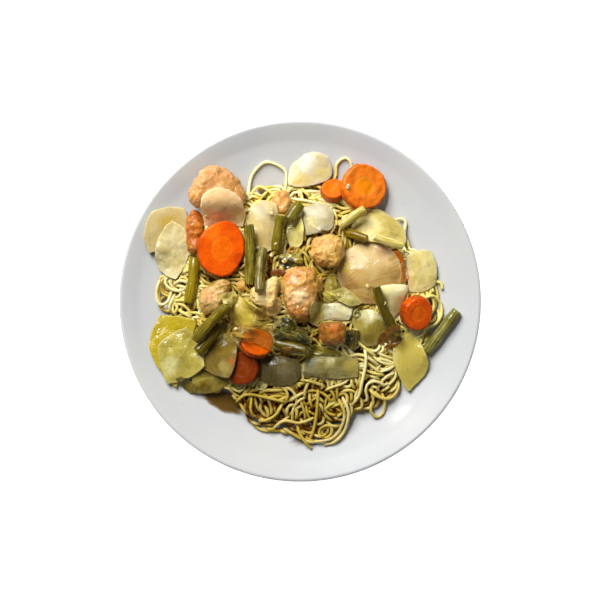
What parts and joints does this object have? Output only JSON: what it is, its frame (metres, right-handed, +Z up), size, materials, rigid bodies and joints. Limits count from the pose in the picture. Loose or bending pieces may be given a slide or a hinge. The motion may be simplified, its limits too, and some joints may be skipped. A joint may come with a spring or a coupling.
{
  "type": "plated noodle meal",
  "caption": "Round white coupe plate of thin egg noodles topped with chicken, carrot slices, onion, cabbage and green beans.",
  "frame": {"origin": "middle of the plate's foot on the table", "axes": "+Z up, +Y towards the far side of the plate as the picture shows it, +X to the right"},
  "size_m": [0.2696, 0.2696, 0.0474],
  "materials": {
    "plate": "gloss",
    "noodles": "soft satin",
    "bean_back_right": "moist gloss",
    "bean_back_right_low": "moist gloss",
    "bean_far_right": "moist gloss",
    "bean_front": "moist gloss",
    "bean_front_dark": "moist gloss",
    "bean_front_left": "moist gloss",
    "bean_front_left_dark": "moist gloss",
    "bean_front_mid": "moist gloss",
    "bean_front_right": "moist gloss",
    "bean_left": "moist gloss",
    "bean_mid_back": "moist gloss",
    "bean_mid_cross": "moist gloss",
    "bean_mid_left": "moist gloss",
    "bean_mid_split": "moist gloss",
    "bean_right": "moist gloss",
    "bean_right_back": "moist gloss",
    "bean_stub_back": "moist gloss",
    "cabbage_leaf_back_right": "moist gloss",
    "cabbage_leaf_clear": "moist gloss",
    "cabbage_leaf_front_left": "moist gloss",
    "cabbage_leaf_glossy": "moist gloss",
    "cabbage_leaf_mid_back": "moist gloss",
    "cabbage_leaf_mid_left": "moist gloss",
    "cabbage_leaf_pale_left": "moist gloss",
    "cabbage_leaf_right": "moist gloss",
    "cabbage_leaf_square": "moist gloss",
    "cabbage_leaf_yellow_left": "moist gloss",
    "cabbage_strip_mid": "moist gloss",
    "cabbage_strip_right": "moist gloss",
    "carrot_slice_front": "moist satin",
    "carrot_slice_front_low": "moist satin",
    "carrot_slice_large_back": "moist satin",
    "carrot_slice_large_left": "moist satin",
    "carrot_slice_right": "moist satin",
    "carrot_slice_right_back": "moist satin",
    "carrot_slice_small_back": "moist satin",
    "chicken_back_left": "moist satin",
    "chicken_cube_front": "moist satin",
    "chicken_front_left": "moist satin",
    "chicken_large_mid": "moist satin",
    "chicken_mid_right": "moist satin",
    "chicken_pale_mid": "moist satin",
    "chicken_small_back": "moist satin",
    "chicken_strip_left": "moist satin",
    "onion_petal_back": "moist gloss",
    "onion_petal_back_left": "moist gloss",
    "onion_petal_far_left": "moist gloss",
    "onion_petal_far_right": "moist gloss",
    "onion_petal_front": "moist gloss",
    "onion_petal_front_left": "moist gloss",
    "onion_petal_front_right": "moist gloss",
    "onion_petal_large": "moist gloss",
    "onion_petal_long_front": "moist gloss",
    "onion_petal_mid_back": "moist gloss",
    "onion_petal_mid_left": "moist gloss",
    "onion_petal_right": "moist gloss"
  },
  "bodies": {
    "root": {"plate": "plate", "noodles": "noodles", "bean_back_right": "bean_back_right", "bean_back_right_low": "bean_back_right_low", "bean_far_right": "bean_far_right", "bean_front": "bean_front", "bean_front_dark": "bean_front_dark", "bean_front_left": "bean_front_left", "bean_front_left_dark": "bean_front_left_dark", "bean_front_mid": "bean_front_mid", "bean_front_right": "bean_front_right", "bean_left": "bean_left", "bean_mid_back": "bean_mid_back", "bean_mid_cross": "bean_mid_cross", "bean_mid_left": "bean_mid_left", "bean_mid_split": "bean_mid_split", "bean_right": "bean_right", "bean_right_back": "bean_right_back", "bean_stub_back": "bean_stub_back", "cabbage_leaf_back_right": "cabbage_leaf_back_right", "cabbage_leaf_clear": "cabbage_leaf_clear", "cabbage_leaf_front_left": "cabbage_leaf_front_left", "cabbage_leaf_glossy": "cabbage_leaf_glossy", "cabbage_leaf_mid_back": "cabbage_leaf_mid_back", "cabbage_leaf_mid_left": "cabbage_leaf_mid_left", "cabbage_leaf_pale_left": "cabbage_leaf_pale_left", "cabbage_leaf_right": "cabbage_leaf_right", "cabbage_leaf_square": "cabbage_leaf_square", "cabbage_leaf_yellow_left": "cabbage_leaf_yellow_left", "cabbage_strip_mid": "cabbage_strip_mid", "cabbage_strip_right": "cabbage_strip_right", "carrot_slice_front": "carrot_slice_front", "carrot_slice_front_low": "carrot_slice_front_low", "carrot_slice_large_back": "carrot_slice_large_back", "carrot_slice_large_left": "carrot_slice_large_left", "carrot_slice_right": "carrot_slice_right", "carrot_slice_right_back": "carrot_slice_right_back", "carrot_slice_small_back": "carrot_slice_small_back", "chicken_back_left": "chicken_back_left", "chicken_cube_front": "chicken_cube_front", "chicken_front_left": "chicken_front_left", "chicken_large_mid": "chicken_large_mid", "chicken_mid_right": "chicken_mid_right", "chicken_pale_mid": "chicken_pale_mid", "chicken_small_back": "chicken_small_back", "chicken_strip_left": "chicken_strip_left", "onion_petal_back": "onion_petal_back", "onion_petal_back_left": "onion_petal_back_left", "onion_petal_far_left": "onion_petal_far_left", "onion_petal_far_right": "onion_petal_far_right", "onion_petal_front": "onion_petal_front", "onion_petal_front_left": "onion_petal_front_left", "onion_petal_front_right": "onion_petal_front_right", "onion_petal_large": "onion_petal_large", "onion_petal_long_front": "onion_petal_long_front", "onion_petal_mid_back": "onion_petal_mid_back", "onion_petal_mid_left": "onion_petal_mid_left", "onion_petal_right": "onion_petal_right"}
  },
  "joints": []
}
